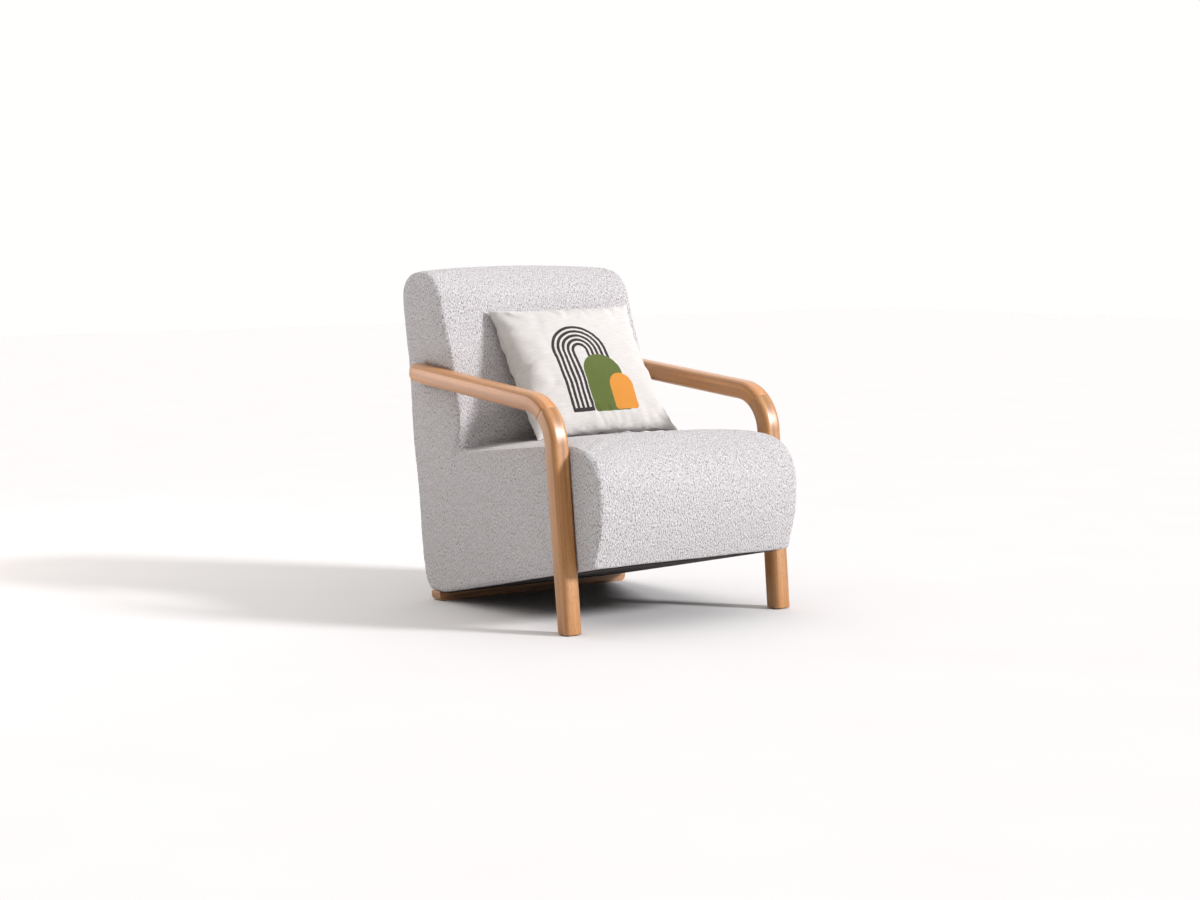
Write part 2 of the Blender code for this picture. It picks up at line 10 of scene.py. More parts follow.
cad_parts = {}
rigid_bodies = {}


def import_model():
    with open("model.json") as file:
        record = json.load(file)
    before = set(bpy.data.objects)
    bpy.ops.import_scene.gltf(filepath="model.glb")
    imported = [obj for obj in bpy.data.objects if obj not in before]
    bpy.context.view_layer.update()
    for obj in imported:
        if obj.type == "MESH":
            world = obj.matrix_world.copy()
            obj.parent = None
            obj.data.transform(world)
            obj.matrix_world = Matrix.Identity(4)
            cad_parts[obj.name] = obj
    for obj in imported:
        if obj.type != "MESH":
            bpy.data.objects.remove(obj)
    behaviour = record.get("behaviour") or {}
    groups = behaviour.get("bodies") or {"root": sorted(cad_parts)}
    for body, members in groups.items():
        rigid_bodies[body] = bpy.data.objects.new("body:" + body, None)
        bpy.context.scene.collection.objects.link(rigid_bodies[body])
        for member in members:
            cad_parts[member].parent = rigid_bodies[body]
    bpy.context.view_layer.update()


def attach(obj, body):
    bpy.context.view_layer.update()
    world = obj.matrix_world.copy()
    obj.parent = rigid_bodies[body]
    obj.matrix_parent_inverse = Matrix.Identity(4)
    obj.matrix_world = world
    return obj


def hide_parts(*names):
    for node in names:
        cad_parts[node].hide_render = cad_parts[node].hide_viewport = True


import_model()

# Lengths named in millimetres are depth behind the front legs and height; MM turns them
# to metres and MID_DEPTH moves the origin to the middle of the chair's outer box.
MM = 0.001
MID_DEPTH = 312.26

# ---- the chair's own dimensions ----------------------------------------------------------
LEG_X, WOOD_WIDE, WOOD_DEEP, WOOD_ROUND = 300.0, 45.0, 43.0, 12.0  # legs at the floor, section
LEG_LEAN, ARM_RISE = math.radians(5.8), math.radians(4.8)
SPLAY, TOE_IN = 0.0096, 0.012  # outward per height, inward per depth
CORNER, BEND_R = (50.7, 498.1), 100.0  # where leg and arm would meet, and the bend's middle line
JOINT_AT, ARM_END, SOLE = math.radians(49), 623.0, 2.5  # glued joint, rear tip, glide height
SEAT_HALF, BACK_HALF = 282.5, 283.0
CREASE, JOIN_LEAN = (486.0, 372.0), 100.0 / 344.0  # of the join between seat and back
FOOT_TOP = 24.0  # of the rear foot board, where the underside ends
BELLY_FRONT, BELLY_REAR = (-62.0, 150.0), (548.0, FOOT_TOP)
SEAT_TOP = [(-70, 183), (-79, 208), (-85.5, 232), (-89.5, 258), (-91, 285), (-90.5, 312),
            (-87, 338), (-79.5, 361), (-67, 381), (-50, 396), (-28, 406.5), (0, 413), (32, 415.5),
            (90, 411), (200, 400), (300, 389.5), (400, 378), (450, 371.5), (476, 367)]
BACK_RISE = [(475, 395), (468, 425), (468, 453), (477, 490), (498, 576), (516, 627), (534, 673),
             (547, 712), (556, 738), (571, 760), (594, 776), (624, 784), (656, 785.5),
             (686, 780), (706, 766), (716, 745), (718.5, 716), (711, 668), (703, 620),
             (694, 572), (687, 500), (681, 430), (673, 360), (662, 300), (654, 240), (647, 165),
             (641, 117), (631, 69), (619, 38)]
BACK_FOOT = (604.0, FOOT_TOP)
CREASE_LOW = (484, 355)
CUSHION_SIZE, CUSHION_THICK = (387.0, 373.0), 115.0
CUSHION_AT = (22.6, 389.8, 547.8)
CUSHION_TURN = tuple(math.radians(a) for a in (-37.3, -1.1, -5.5))
# Arches on the cushion's front panel, in millimetres from its middle: middle line, spring height,
# radius and foot height.
BLACK_ARCH = (-20.0, 20.0, 70.0, -127.0)
GREEN_ARCH = (17.0, -40.0, 49.0, -128.5)
OCHRE_ARCH = (54.5, -74.0, 31.0, -126.5)
LINE_STEP, LINE_WIDE = 12.1, 7.1  # of the black arch's five lines
OUTLINE = [BELLY_FRONT, *SEAT_TOP, CREASE_LOW, *BACK_RISE, BACK_FOOT, BELLY_REAR]


def at(x, y, z):
    return Vector((x * MM, (y - MID_DEPTH) * MM, z * MM))


# ---- small tools -------------------------------------------------------------------------
def linear(code):
    """An sRGB hex colour as the linear colour that shaders take."""
    parts = [int(code[i:i + 2], 16) / 255 for i in (1, 3, 5)]
    return (*(c / 12.92 if c <= 0.04045 else ((c + 0.055) / 1.055) ** 2.4 for c in parts), 1.0)


def plug(tree, node, inputs):
    """Fill a node's inputs, by name or in order: a socket is linked, anything else is a value."""
    for key, value in (inputs.items() if isinstance(inputs, dict) else enumerate(inputs)):
        if isinstance(value, bpy.types.NodeSocket):
            tree.links.new(value, node.inputs[key])
        else:
            node.inputs[key].default_value = value


def add(tree, kind, inputs=(), out=0, **settings):
    """Add a shader node with its settings and links, and give back one of its outputs. The kind
    may be followed by the node's operation. A colour ramp's stops are a setting too, each a
    position and a hex colour."""
    kind, _, operation = kind.partition(" ")
    made = tree.nodes.new("ShaderNode" + kind)
    if operation:
        made.operation = operation
    for key, value in settings.items():
        if key == "stops":
            band = made.color_ramp.elements
            while len(band) < len(value):
                band.new(0.5)
            for element, (position, code) in zip(band, value):
                element.position = position
                element.color = linear(code)
        else:
            setattr(made, key, value)
    plug(tree, made, inputs)
    return made.outputs[out]


def new_material(name, **shader_values):
    mat = bpy.data.materials.new(name)
    mat.use_nodes = True
    shader = mat.node_tree.nodes["Principled BSDF"]
    for key, value in shader_values.items():
        shader.inputs[key.replace("_", " ")].default_value = value
    return mat, mat.node_tree, shader


def new_piece(name, bm, mat, smooth=True):
    bmesh.ops.remove_doubles(bm, verts=bm.verts, dist=1e-6)
    bmesh.ops.recalc_face_normals(bm, faces=bm.faces)
    mesh = bpy.data.meshes.new(name)
    for face in bm.faces:
        face.smooth = smooth
    bm.to_mesh(mesh)
    bm.free()
    mesh.materials.append(mat)
    obj = bpy.data.objects.new(name, mesh)
    bpy.context.scene.collection.objects.link(obj)
    return obj


def baked(obj):
    """Apply every modifier of a piece."""
    graph = bpy.context.evaluated_depsgraph_get()
    mesh = bpy.data.meshes.new_from_object(obj.evaluated_get(graph))
    obj.modifiers.clear()
    old = obj.data
    obj.data = mesh
    bpy.data.meshes.remove(old)


def points_of(mesh):
    co = np.zeros(len(mesh.vertices) * 3)
    mesh.vertices.foreach_get("co", co)
    return co.reshape(-1, 3)


def set_points(mesh, co):
    mesh.vertices.foreach_set("co", np.asarray(co, float).ravel())
    mesh.update()


def normals_of(mesh):
    no = np.zeros(len(mesh.vertices) * 3)
    mesh.vertex_normals.foreach_get("vector", no)
    return no.reshape(-1, 3)


def vector_attribute(mesh, name, values, domain="POINT"):
    layer = mesh.attributes.new(name, "FLOAT_VECTOR", domain)
    layer.data.foreach_set("vector", np.asarray(values, np.float32).ravel())


def smooth_step(t):
    t = np.clip(t, 0.0, 1.0)
    return t * t * (3 - 2 * t)


# ---- camera ------------------------------------------------------------------------------
def place_camera():
    """A long lens a little above the chair, looking at its front from the sitter's right."""
    turn, rise, roll = math.radians(-36.265), math.radians(5.462), math.radians(-0.232)
    back = Vector((math.sin(turn) * math.cos(rise), -math.cos(turn) * math.cos(rise),
                   math.sin(rise)))
    right = Vector((math.cos(turn), math.sin(turn), 0))
    up = back.cross(right)
    across = right * math.cos(roll) + up * math.sin(roll)
    up = back.cross(across)
    data = bpy.data.cameras.new("studio_camera")
    data.lens, data.sensor_width = 36 * 2366.45 / 1200, 36.0
    data.clip_end = 50
    camera = bpy.data.objects.new("studio_camera", data)
    bpy.context.scene.collection.objects.link(camera)
    camera.matrix_world = Matrix.Translation(at(-3276.5, -4171.2, 896.8)) @ Matrix(
        (across, up, back)).transposed().to_4x4()
    bpy.context.scene.camera = camera


place_camera()


# ---- materials ---------------------------------------------------------------------------
def looped_boucle():
    """Boucle: looped yarn on a wool-blend ground. The loops are about 3 mm wide and lie in wavering
    columns, so the skin looks nubby. The short soft dark gaps between the loops are painted shade:
    the colour darkens from the loops' tops down into the gaps."""
    loop_wide, loop_long, yarn_wide, yarn_long, waver_size = 2.7e-3, 5.0e-3, 1.3e-3, 2.8e-3, 0.019
    mat, tree, shader = new_material("boucle_wool_looped", Roughness=0.92, Sheen_Weight=0.5,
                                     Sheen_Roughness=0.45, Specular_IOR_Level=0.2)
    run = add(tree, "Attribute", out="Vector", attribute_name="cloth_run")
    waver = add(tree, "TexNoise", {"Vector": run, "Scale": 1 / waver_size, "Detail": 2.0}, "Color")
    bent = add(tree, "VectorMath MULTIPLY_ADD", (waver, (0.0052, 0.004, 0), run))
    grid = add(tree, "Mapping", {"Vector": bent, "Scale": (1 / loop_wide, 1 / loop_long, 1)})
    loop = add(tree, "TexVoronoi", {"Vector": grid, "Scale": 1.0, "Randomness": 0.85}, "Distance",
               feature="SMOOTH_F1", voronoi_dimensions="2D")
    yarn = add(tree, "Mapping", {"Vector": bent, "Scale": (1 / yarn_wide, 1 / yarn_long, 1)})
    twist = add(tree, "TexNoise", {"Vector": yarn, "Scale": 1.0, "Detail": 3.0, "Roughness": 0.6})
    nub = add(tree, "Math MULTIPLY_ADD", (loop, -0.9, 1.0))
    height = add(tree, "Math MULTIPLY_ADD", (twist, 0.75, nub))
    gap_shade_level = add(tree, "MapRange", {"Value": height, "From Min": 0.52, "From Max": 1.34})
    # Painted shade: the thread colour runs from pale at the loop tops to dark grey in the gaps
    # between the loops, standing for the shade that falls there.
    thread = add(tree, "ValToRGB", (gap_shade_level,), stops=[
        (0.0, "#6E6967"), (0.28, "#9F9B9B"), (0.6, "#C3C1C2"), (1.0, "#E4E3E5")])
    patch = add(tree, "TexNoise", {"Vector": run, "Scale": 1 / 0.016, "Detail": 4.0})
    shade = add(tree, "ValToRGB", (patch,), stops=[(0.3, "#F3F1F0"), (0.7, "#FFFFFF")])
    colour = add(tree, "Mix", {0: 1.0, 6: thread, 7: shade}, 2, data_type="RGBA",
                 blend_type="MULTIPLY")
    bump = add(tree, "Bump", {"Height": height, "Strength": 1.0, "Distance": 3.0e-3})
    plug(tree, shader, {"Base Color": colour, "Normal": bump})
    return mat


def lacquered_beech(name, pale, mid, dark, seed):
    """Beech, sanded and satin lacquered: straight grain along the piece with short darker flecks,
    under a soft clear gloss."""
    mat, tree, shader = new_material(name, Roughness=0.42, Coat_Weight=0.6, Coat_Roughness=0.33)
    grain = add(tree, "Attribute", out="Vector", attribute_name="grain")
    rings = add(tree, "Mapping", {"Vector": grain, "Location": (seed, seed * 1.7, 0),
                                  "Scale": (1 / 0.012, 1 / 0.018, 1 / 0.5)})
    growth = add(tree, "TexNoise", {"Vector": rings, "Scale": 1.0, "Detail": 3.0,
                                    "Distortion": 0.7})
    fibre = add(tree, "Mapping", {"Vector": grain, "Location": (0, seed, 0),
                                  "Scale": (1 / 0.0011, 1 / 0.0011, 1 / 0.05)})
    streak = add(tree, "TexNoise", {"Vector": fibre, "Scale": 1.0, "Detail": 2.0})
    fleck = add(tree, "Mapping", {"Vector": grain, "Scale": (1 / 0.0016, 1 / 0.0016, 1 / 0.009)})
    pores = add(tree, "TexNoise", {"Vector": fleck, "Scale": 1.0, "Detail": 0.0})
    mixed = add(tree, "Math MULTIPLY_ADD", (streak, 0.2, growth))
    tone = add(tree, "ValToRGB", (mixed,), stops=[(0.32, dark), (0.6, mid), (0.86, pale)])
    spot = add(tree, "MapRange", {"Value": pores, "From Min": 0.62, "From Max": 0.74,
                                  "To Max": 0.45})
    flecked = add(tree, "Mix", {0: spot, 6: tone, 7: linear(dark)}, 2, data_type="RGBA")
    gloss = add(tree, "MapRange", {"Value": streak, "To Min": 0.34, "To Max": 0.5})
    bump = add(tree, "Bump", {"Height": streak, "Strength": 0.15, "Distance": 0.3e-3})
    plug(tree, shader, {"Base Color": flecked, "Roughness": gloss, "Normal": bump})
    return mat


def arch_distance(tree, u, v, middle, spring, radius, foot, corner):
    """Distance outside an upright arch's curve, and outside the whole arch with its foot, which
    has small round corners."""
    du = add(tree, "Math SUBTRACT", (u, middle))
    rise = add(tree, "Math MAXIMUM", (add(tree, "Math SUBTRACT", (v, spring)), 0.0))
    top = add(tree, "VectorMath LENGTH", (add(tree, "CombineXYZ", (du, rise)),), "Value")
    over = add(tree, "Math SUBTRACT", (add(tree, "Math ABSOLUTE", (du,)), radius - corner))
    side = add(tree, "Math MAXIMUM", (over, 0.0))
    drop = add(tree, "Math MAXIMUM", (add(tree, "Math SUBTRACT", (foot + corner, v)), 0.0))
    low = add(tree, "VectorMath LENGTH", (add(tree, "CombineXYZ", (side, drop)),), "Value")
    curve = add(tree, "Math SUBTRACT", (top, radius))
    block = add(tree, "Math SUBTRACT", (low, corner))
    return curve, add(tree, "Math MAXIMUM", (curve, block))


def embroidered_linen():
    """Plain-woven off-white linen, 1.1 mm threads with slubs. Its front panel has a simple motif of
    arches: black lines flat-embroidered, and two solid arches in low looped pile."""
    mat, tree, shader = new_material("linen_plain_weave_embroidered", Roughness=0.9,
                                     Sheen_Weight=0.15, Sheen_Roughness=0.5,
                                     Specular_IOR_Level=0.25)
    panel = add(tree, "Attribute", out="Vector", attribute_name="panel")
    fuzz = add(tree, "TexNoise", {"Vector": panel, "Scale": 1 / 0.0016, "Detail": 2.0})
    wobble = add(tree, "TexNoise", {"Vector": panel, "Scale": 1 / 0.006, "Detail": 1.0})
    across, up, which = add(tree, "SeparateXYZ", (panel,)).node.outputs
    front = add(tree, "Math GREATER_THAN", (which, 0.5))
    # Millimetres over the panel, made a little uneven as stitches are, and slanting slightly.
    ragged = add(tree, "Math MULTIPLY_ADD", (wobble, 1.6, -0.8))
    v = add(tree, "Math MULTIPLY_ADD", (up, 1000.0, ragged))
    below_top = add(tree, "Math SUBTRACT", (v, 92.0))
    slant = add(tree, "Math MULTIPLY_ADD", (below_top, 0.04, ragged))
    u = add(tree, "Math MULTIPLY_ADD", (across, 1000.0, slant))
    curve, arch = arch_distance(tree, u, v, *BLACK_ARCH, 1.0)
    inner = add(tree, "Math MULTIPLY", (curve, -1.0))
    phase = add(tree, "Math MODULO", (inner, LINE_STEP))
    line = add(tree, "Math SUBTRACT", (phase, LINE_WIDE))
    last = add(tree, "Math SUBTRACT", (inner, 4 * LINE_STEP + LINE_WIDE))
    above_foot = add(tree, "Math SUBTRACT", (v, BLACK_ARCH[3] + 9.0))
    lines = add(tree, "Math MINIMUM", (add(tree, "Math MAXIMUM", (line, last)),
                                       add(tree, "Math MAXIMUM", (above_foot, last))))
    lines = add(tree, "Math MAXIMUM", (lines, arch))
    warp, weft = (add(tree, "TexWave", {"Vector": panel, "Scale": 143.0, "Distortion": 1.2,
                                        "Detail": 2.0, "Detail Scale": 0.6}, "Fac",
                      wave_type="BANDS", bands_direction=direction) for direction in "XY")
    weave = add(tree, "Math ADD", (warp, weft))
    long = add(tree, "Mapping", {"Vector": panel, "Scale": (1 / 0.030, 1 / 0.0022, 1)})
    slub = add(tree, "TexNoise", {"Vector": long, "Scale": 1.0, "Detail": 2.0})
    thread = add(tree, "Math MULTIPLY", (weave, 0.25))
    tint = add(tree, "Math MULTIPLY_ADD", (slub, 0.7, thread))
    colour = add(tree, "ValToRGB", (tint,), stops=[
        (0.25, "#ABA7A1"), (0.5, "#BFBCB8"), (0.8, "#CAC8C5")])
    height = add(tree, "Math MULTIPLY", (weave, 0.35))
    green, ochre = (arch_distance(tree, u, v, *shape, 9.0)[1] for shape in (GREEN_ARCH, OCHRE_ARCH))
    for distance, dark, light, tuft, base in ((lines, "#241F21", "#38312F", 0.8, 0.5),
                                              (green, "#424E22", "#616D33", 2.2, 1.2),
                                              (ochre, "#B67529", "#CF8C3B", 2.2, 1.2)):
        stitched = add(tree, "MapRange", {"Value": distance, "From Min": 0.35, "From Max": -0.35})
        stitched = add(tree, "Math MULTIPLY", (stitched, front))
        dye = add(tree, "ValToRGB", (fuzz,), stops=[(0.3, dark), (0.7, light)])
        colour = add(tree, "Mix", {0: stitched, 6: colour, 7: dye}, 2, data_type="RGBA")
        pile = add(tree, "Math MULTIPLY_ADD", (fuzz, tuft, base))
        height = add(tree, "Mix", {0: stitched, 2: height, 3: pile})
    bump = add(tree, "Bump", {"Height": height, "Strength": 0.5, "Distance": 0.8e-3})
    plug(tree, shader, {"Base Color": colour, "Normal": bump})
    return mat


def worked(name, cell, tones, rough=(0.5, 0.7), relief=0.2, **shader_values):
    """A worked surface from stretched noise: cell is its pattern's size in millimetres along X, Y
    and Z, tones its colours from dark to pale."""
    mat, tree, shader = new_material(name, **shader_values)
    place = add(tree, "TexCoord", out="Object")
    cells = add(tree, "Mapping", {"Vector": place, "Scale": [1 / (c * MM) for c in cell]})
    coarse = add(tree, "TexNoise", {"Vector": cells, "Scale": 0.3, "Detail": 3.0})
    fine = add(tree, "TexNoise", {"Vector": cells, "Scale": 1.0, "Detail": 3.0})
    half = add(tree, "Math MULTIPLY", (coarse, 0.5))
    both = add(tree, "Math MULTIPLY_ADD", (fine, 0.5, half))
    colour = add(tree, "ValToRGB", (both,), stops=[
        (0.38 + 0.24 * i / (len(tones) - 1), tone) for i, tone in enumerate(tones)])
    gloss = add(tree, "MapRange", {"Value": fine, "From Min": 0.3, "From Max": 0.7,
                                   "To Min": rough[0], "To Max": rough[1]})
    bump = add(tree, "Bump", {"Height": fine, "Strength": relief, "Distance": 0.4e-3})
    plug(tree, shader, {"Base Color": colour, "Roughness": gloss, "Normal": bump})
    return mat


# ---- wooden arms and legs ----------------------------------------------------------------
def splayed(side, across, y, z):
    """A point of an arm or leg on one side, with its splay and toe-in."""
    return at(side * (LEG_X + SPLAY * z - TOE_IN * y) + across, y, z)


def bend_centre():
    """Centre of the bend that joins the leaning leg and the rising arm."""
    reach = BEND_R * math.tan((math.pi / 2 - LEG_LEAN - ARM_RISE) / 2)
    foot = (CORNER[0] - math.sin(LEG_LEAN) * reach, CORNER[1] - math.cos(LEG_LEAN) * reach)
    return foot[0] + math.cos(LEG_LEAN) * BEND_R, foot[1] - math.sin(LEG_LEAN) * BEND_R


def bend_frame(angle):
    """The wood's middle and its outer direction at an angle round the bend."""
    centre, out = bend_centre(), (-math.cos(angle), math.sin(angle))
    return (centre[0] + out[0] * BEND_R, centre[1] + out[1] * BEND_R), out


def wood_section(bm, middle, out, side):
    """The wood's rounded-rectangle section as a face across its run."""
    a, b, r, corner = WOOD_WIDE / 2, WOOD_DEEP / 2, WOOD_ROUND, 8
    verts = []
    for quarter in range(4):
        cx = (a - r) * (1 if quarter in (0, 3) else -1)
        cy = (b - r) * (1 if quarter in (0, 1) else -1)
        for step in range(corner + 1):
            t = math.radians(90 * (quarter + step / corner))
            across, tall = cx + r * math.cos(t), cy + r * math.sin(t)
            verts.append(bm.verts.new(splayed(side, across, middle[0] + out[0] * tall,
                                              middle[1] + out[1] * tall)))
    return verts


def bridge_run(bm, frames, side):
    """Join sections along the wood's run into one skin and close both ends."""
    rings = [wood_section(bm, middle, out, side) for middle, out in frames]
    loops = [[bm.edges.new((ring[i - 1], ring[i])) for i in range(len(ring))] for ring in rings]
    for first, second in zip(loops, loops[1:]):
        bmesh.ops.bridge_loops(bm, edges=first + second)
    ends = [bm.faces.new(rings[0]), bm.faces.new(rings[-1])]
    return ends


def spread(start, stop, count):
    return [start + (stop - start) * i / count for i in range(count + 1)]


def grain_run(mesh):
    """Give each point its place in the wood: across, through and along the bent grain."""
    co = points_of(mesh) / MM
    y, z = co[:, 1] + MID_DEPTH, co[:, 2]
    cy, cz = bend_centre()
    angle = np.arctan2(z - cz, cy - y)
    reach = np.hypot(z - cz, cy - y)
    leg_dir = math.sin(LEG_LEAN), math.cos(LEG_LEAN)
    arm_dir = math.cos(ARM_RISE), math.sin(ARM_RISE)
    low, high = LEG_LEAN, math.pi / 2 - ARM_RISE
    along = angle * BEND_R
    tall = reach - BEND_R
    foot, _ = bend_frame(low)
    head, _ = bend_frame(high)
    on_leg = (y - foot[0]) * leg_dir[0] + (z - foot[1]) * leg_dir[1] < 0
    on_arm = (y - head[0]) * arm_dir[0] + (z - head[1]) * arm_dir[1] > 0
    leg_along = low * BEND_R + (y - foot[0]) * leg_dir[0] + (z - foot[1]) * leg_dir[1]
    leg_tall = -(y - foot[0]) * leg_dir[1] + (z - foot[1]) * leg_dir[0]
    arm_along = high * BEND_R + (y - head[0]) * arm_dir[0] + (z - head[1]) * arm_dir[1]
    arm_tall = -(y - head[0]) * arm_dir[1] + (z - head[1]) * arm_dir[0]
    along = np.where(on_leg, leg_along, np.where(on_arm, arm_along, along))
    tall = np.where(on_leg, leg_tall, np.where(on_arm, arm_tall, tall))
    across = np.abs(co[:, 0]) - (LEG_X + SPLAY * z - TOE_IN * y)
    vector_attribute(mesh, "grain", np.stack([across, tall, along], 1) * MM)


def soften(bm, edges, width, segments):
    bmesh.ops.bevel(bm, geom=edges, offset=width * MM, offset_type="OFFSET", affect="EDGES",
                    segments=segments, profile=0.5, material=-1, clamp_overlap=True)


def build_wood(arm_beech, leg_beech):
    """Both arms and front legs: one bent run each side, parted at the glued joint in the bend by
    a hair's breadth and with the legs cut off level above their glides."""
    seam = 0.12 / BEND_R
    for side, label in ((-1, "right"), (1, "left")):
        high = math.pi / 2 - ARM_RISE
        out = (-math.sin(ARM_RISE), math.cos(ARM_RISE))
        frames = [bend_frame(a) for a in spread(JOINT_AT + seam, high, 12)]
        frames += [((y, CORNER[1] + (y - CORNER[0]) * math.tan(ARM_RISE)), out)
                   for y in (250, 400, 520, ARM_END)]
        bm = bmesh.new()
        ends = bridge_run(bm, frames, side)
        soften(bm, list(ends[1].edges), 6.0, 5)
        soften(bm, list(ends[0].edges), 0.35, 1)
        arm = new_piece("bent_arm_" + label, bm, arm_beech)
        out = (-math.cos(LEG_LEAN), math.sin(LEG_LEAN))
        frames = [bend_frame(a) for a in spread(JOINT_AT - seam, LEG_LEAN, 12)]
        frames += [((math.tan(LEG_LEAN) * z, z), out) for z in (300, 200, 90, -8)]
        bm = bmesh.new()
        ends = bridge_run(bm, frames, side)
        soften(bm, list(ends[0].edges), 0.35, 1)
        cut = bmesh.ops.bisect_plane(
            bm, geom=[*bm.verts, *bm.edges, *bm.faces], dist=1e-7, plane_co=(0, 0, SOLE * MM),
            plane_no=(0, 0, 1), clear_inner=True)
        sole = bmesh.ops.contextual_create(
            bm, geom=[e for e in cut["geom_cut"] if isinstance(e, bmesh.types.BMEdge)])
        soften(bm, list(sole["faces"][0].edges), 1.5, 3)
        leg = new_piece("front_leg_bent_" + label, bm, leg_beech)
        for piece, cad in ((arm, "armrest_" + label), (leg, "front_leg_" + label)):
            grain_run(piece.data)
            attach(piece, "chair")
            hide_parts(cad)


# ---- upholstered body --------------------------------------------------------------------
def rounded_outline(points, steps):
    """The side outline with its curves filled in, corner marks kept at the belly and crease."""
    sharp = {BELLY_FRONT, BELLY_REAR, BACK_FOOT, CREASE_LOW}
    result = []
    count = len(points)
    for i, p1 in enumerate(points):
        p0, p2, p3 = points[i - 1], points[(i + 1) % count], points[(i + 2) % count]
        p0 = p1 if p1 in sharp else p0
        p3 = p2 if p2 in sharp else p3
        for s in range(steps):
            t = s / steps
            result.append(tuple(
                0.5 * (2 * b + (c - a) * t + (2 * a - 5 * b + 4 * c - d) * t * t
                       + (3 * b - a - 3 * c + d) * t ** 3)
                for a, b, c, d in zip(p0, p1, p2, p3)))
    return result


def outward(outline):
    """The direction out of the side outline at each of its points."""
    pts = np.array(outline)
    step = np.roll(pts, -1, 0) - np.roll(pts, 1, 0)
    out = np.stack([step[:, 1], -step[:, 0]], 1)
    out /= np.linalg.norm(out, axis=1)[:, None]
    area = np.sum(pts[:, 0] * np.roll(pts[:, 1], -1) - np.roll(pts[:, 0], -1) * pts[:, 1])
    return out * (1 if area > 0 else -1)


def belly(y):
    """Height of the sloping underside."""
    slope = (BELLY_REAR[1] - BELLY_FRONT[1]) / (BELLY_REAR[0] - BELLY_FRONT[0])
    return BELLY_FRONT[1] + slope * (y - BELLY_FRONT[0])


def edge_round(p, n):
    """How far the side edge is rolled over at an outline point facing n, in millimetres."""
    y, z = p
    if z <= max(belly(y), FOOT_TOP) + 3:
        return 7.0
    low = smooth_step((z - FOOT_TOP) / 160) if y > 560 else smooth_step((z - belly(y)) / 90)
    if y > 470:
        return 6.0 + low * (4.0 + 8.0 * max(0.0, n[1]))
    return 6.0 + low * (2.0 + 16.0 * max(0.0, n[1]))


def crown(p):
    """How far the middle of the body swells past its sides at an outline point."""
    y, z = p
    if z <= max(belly(y), FOOT_TOP) + 3:
        return 0.0
    return 5.5 if y < 705 and z > 170 else 3.0


def side_half(p):
    """Half the body's width at an outline point: the back is a little wider than the seat."""
    return SEAT_HALF + (BACK_HALF - SEAT_HALF) * float(smooth_step((p[0] - 440) / 120))


def body_block():
    """The closed soft body: the side outline carried across with rolled edges and a crown."""
    outline = rounded_outline(OUTLINE, 4)
    normals = outward(outline)
    bm = bmesh.new()
    quarter = [math.radians(a) for a in (90, 75, 60, 45, 30, 15, 0)]
    steps = [(-1, a) for a in quarter] + [(0, x) for x in (-0.6, -0.3, 0.0, 0.3, 0.6)]
    steps += [(1, a) for a in reversed(quarter)]
    rings = []
    for side, value in steps:
        ring = []
        for p, n in zip(outline, normals):
            r, half = edge_round(p, n), side_half(p)
            x, sink = (side * (half - r * (1 - math.sin(value))), r * (1 - math.cos(value))) \
                if side else (value * half, 0.0)
            out = crown(p) * (1 - (x / half) ** 2) - sink
            ring.append(bm.verts.new(at(x, p[0] + n[0] * out, p[1] + n[1] * out)))
        rings.append([bm.edges.new((ring[i - 1], ring[i])) for i in range(len(ring))])
        if side and value == quarter[0]:
            bm.faces.new(ring)
    for first, second in zip(rings, rings[1:]):
        bmesh.ops.bridge_loops(bm, edges=first + second)
    return bm, outline


def side_distance(y, z, outline):
    """Distance inside the side outline, negative outside, and the length run along it."""
    a = np.array(outline)
    b = np.roll(a, -1, 0)
    run = np.concatenate([[0], np.cumsum(np.linalg.norm(b - a, axis=1))])[:-1]
    best, along = np.full(len(y), 1e9), np.zeros(len(y))
    inside = np.zeros(len(y), bool)
    for (ay, az), (by, bz), start in zip(a, b, run):
        dy, dz = by - ay, bz - az
        t = np.clip(((y - ay) * dy + (z - az) * dz) / (dy * dy + dz * dz), 0, 1)
        d = np.hypot(y - ay - t * dy, z - az - t * dz)
        near = d < best
        best[near] = d[near]
        along[near] = (start + t * math.hypot(dy, dz))[near]
        inside ^= ((az > z) != (bz > z)) & (y < dy * (z - az) / (dz + 1e-12) + ay)
    return np.where(inside, best, -best), along


def inflate(obj, pressure, cap, pinned=None, frames=20, **fabric):
    """Let a closed cloth skin swell, keep it near its start, and leave the result in its mesh."""
    start = points_of(obj.data)
    if pinned is not None:
        group = obj.vertex_groups.new(name="held")
        group.add([int(i) for i in np.flatnonzero(pinned)], 1.0, "REPLACE")
    cloth = obj.modifiers.new("swell", "CLOTH")
    cloth.settings.effector_weights.gravity = 0
    cloth.settings.use_pressure = True
    cloth.settings.uniform_pressure_force = pressure
    cloth.settings.quality = 6
    for key, value in fabric.items():
        setattr(cloth.settings, key, value)
    if pinned is not None:
        cloth.settings.vertex_group_mass = "held"
    cloth.collision_settings.use_collision = False
    cloth.point_cache.frame_start, cloth.point_cache.frame_end = 1, frames
    scene = bpy.context.scene
    for number in range(1, frames + 1):
        scene.frame_set(number)
    graph = bpy.context.evaluated_depsgraph_get()
    swollen = obj.evaluated_get(graph)
    moved = points_of(swollen.data)
    obj.modifiers.clear()
    obj.vertex_groups.clear()
    scene.frame_set(1)
    shift = moved - start
    length = np.linalg.norm(shift, axis=1)[:, None]
    soft_cap = cap * np.tanh(length / cap)
    set_points(obj.data, start + shift / np.maximum(length, 1e-9) * soft_cap)


